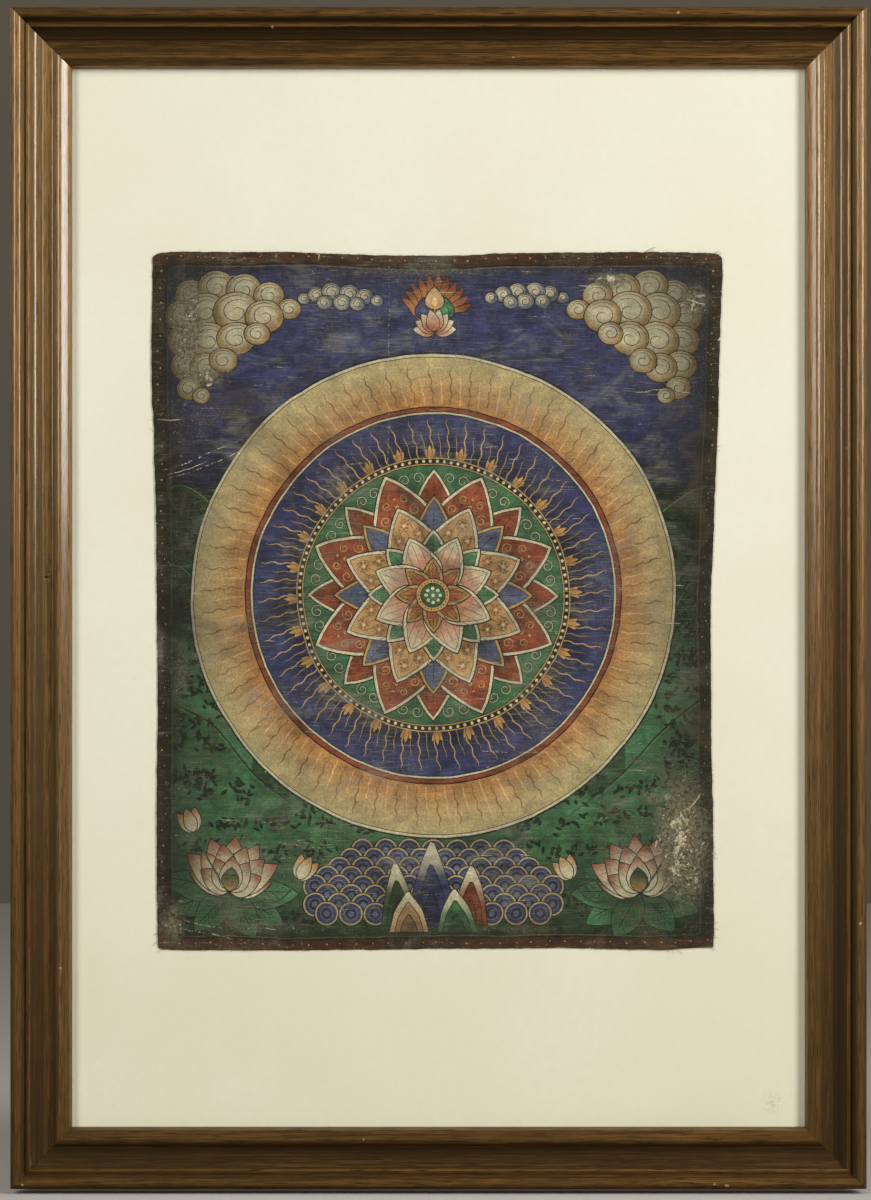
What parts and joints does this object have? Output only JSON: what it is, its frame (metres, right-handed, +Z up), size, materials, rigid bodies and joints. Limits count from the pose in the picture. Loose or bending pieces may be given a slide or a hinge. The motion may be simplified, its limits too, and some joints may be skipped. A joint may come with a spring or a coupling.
{
  "type": "framed thangka painting on cloth",
  "caption": "Old painted cloth with worn paint and a dark border, floated on a cream board in a moulded hardwood frame, for hanging on a wall.",
  "frame": {"origin": "on the back of the top rail, halfway along it and midway across its flat back, where the frame hangs on a wall", "axes": "+Z up along the frame's height, +X to the right as one looks at the picture, +Y from the picture's front to its back"},
  "size_m": [0.686, 0.0299, 0.947],
  "materials": {
    "painted_cotton": "matt distemper on primed cotton, cracked, rubbed and soiled",
    "cream_board": "matt, fine paper texture",
    "stained_hardwood": "dark stain under a satin lacquer, open pores along the grain"
  },
  "bodies": {
    "root": {"painted_cloth": "painted_cotton", "mount_board": "cream_board", "rail_top": "stained_hardwood", "rail_bottom": "stained_hardwood", "rail_left": "stained_hardwood", "rail_right": "stained_hardwood"}
  },
  "joints": []
}
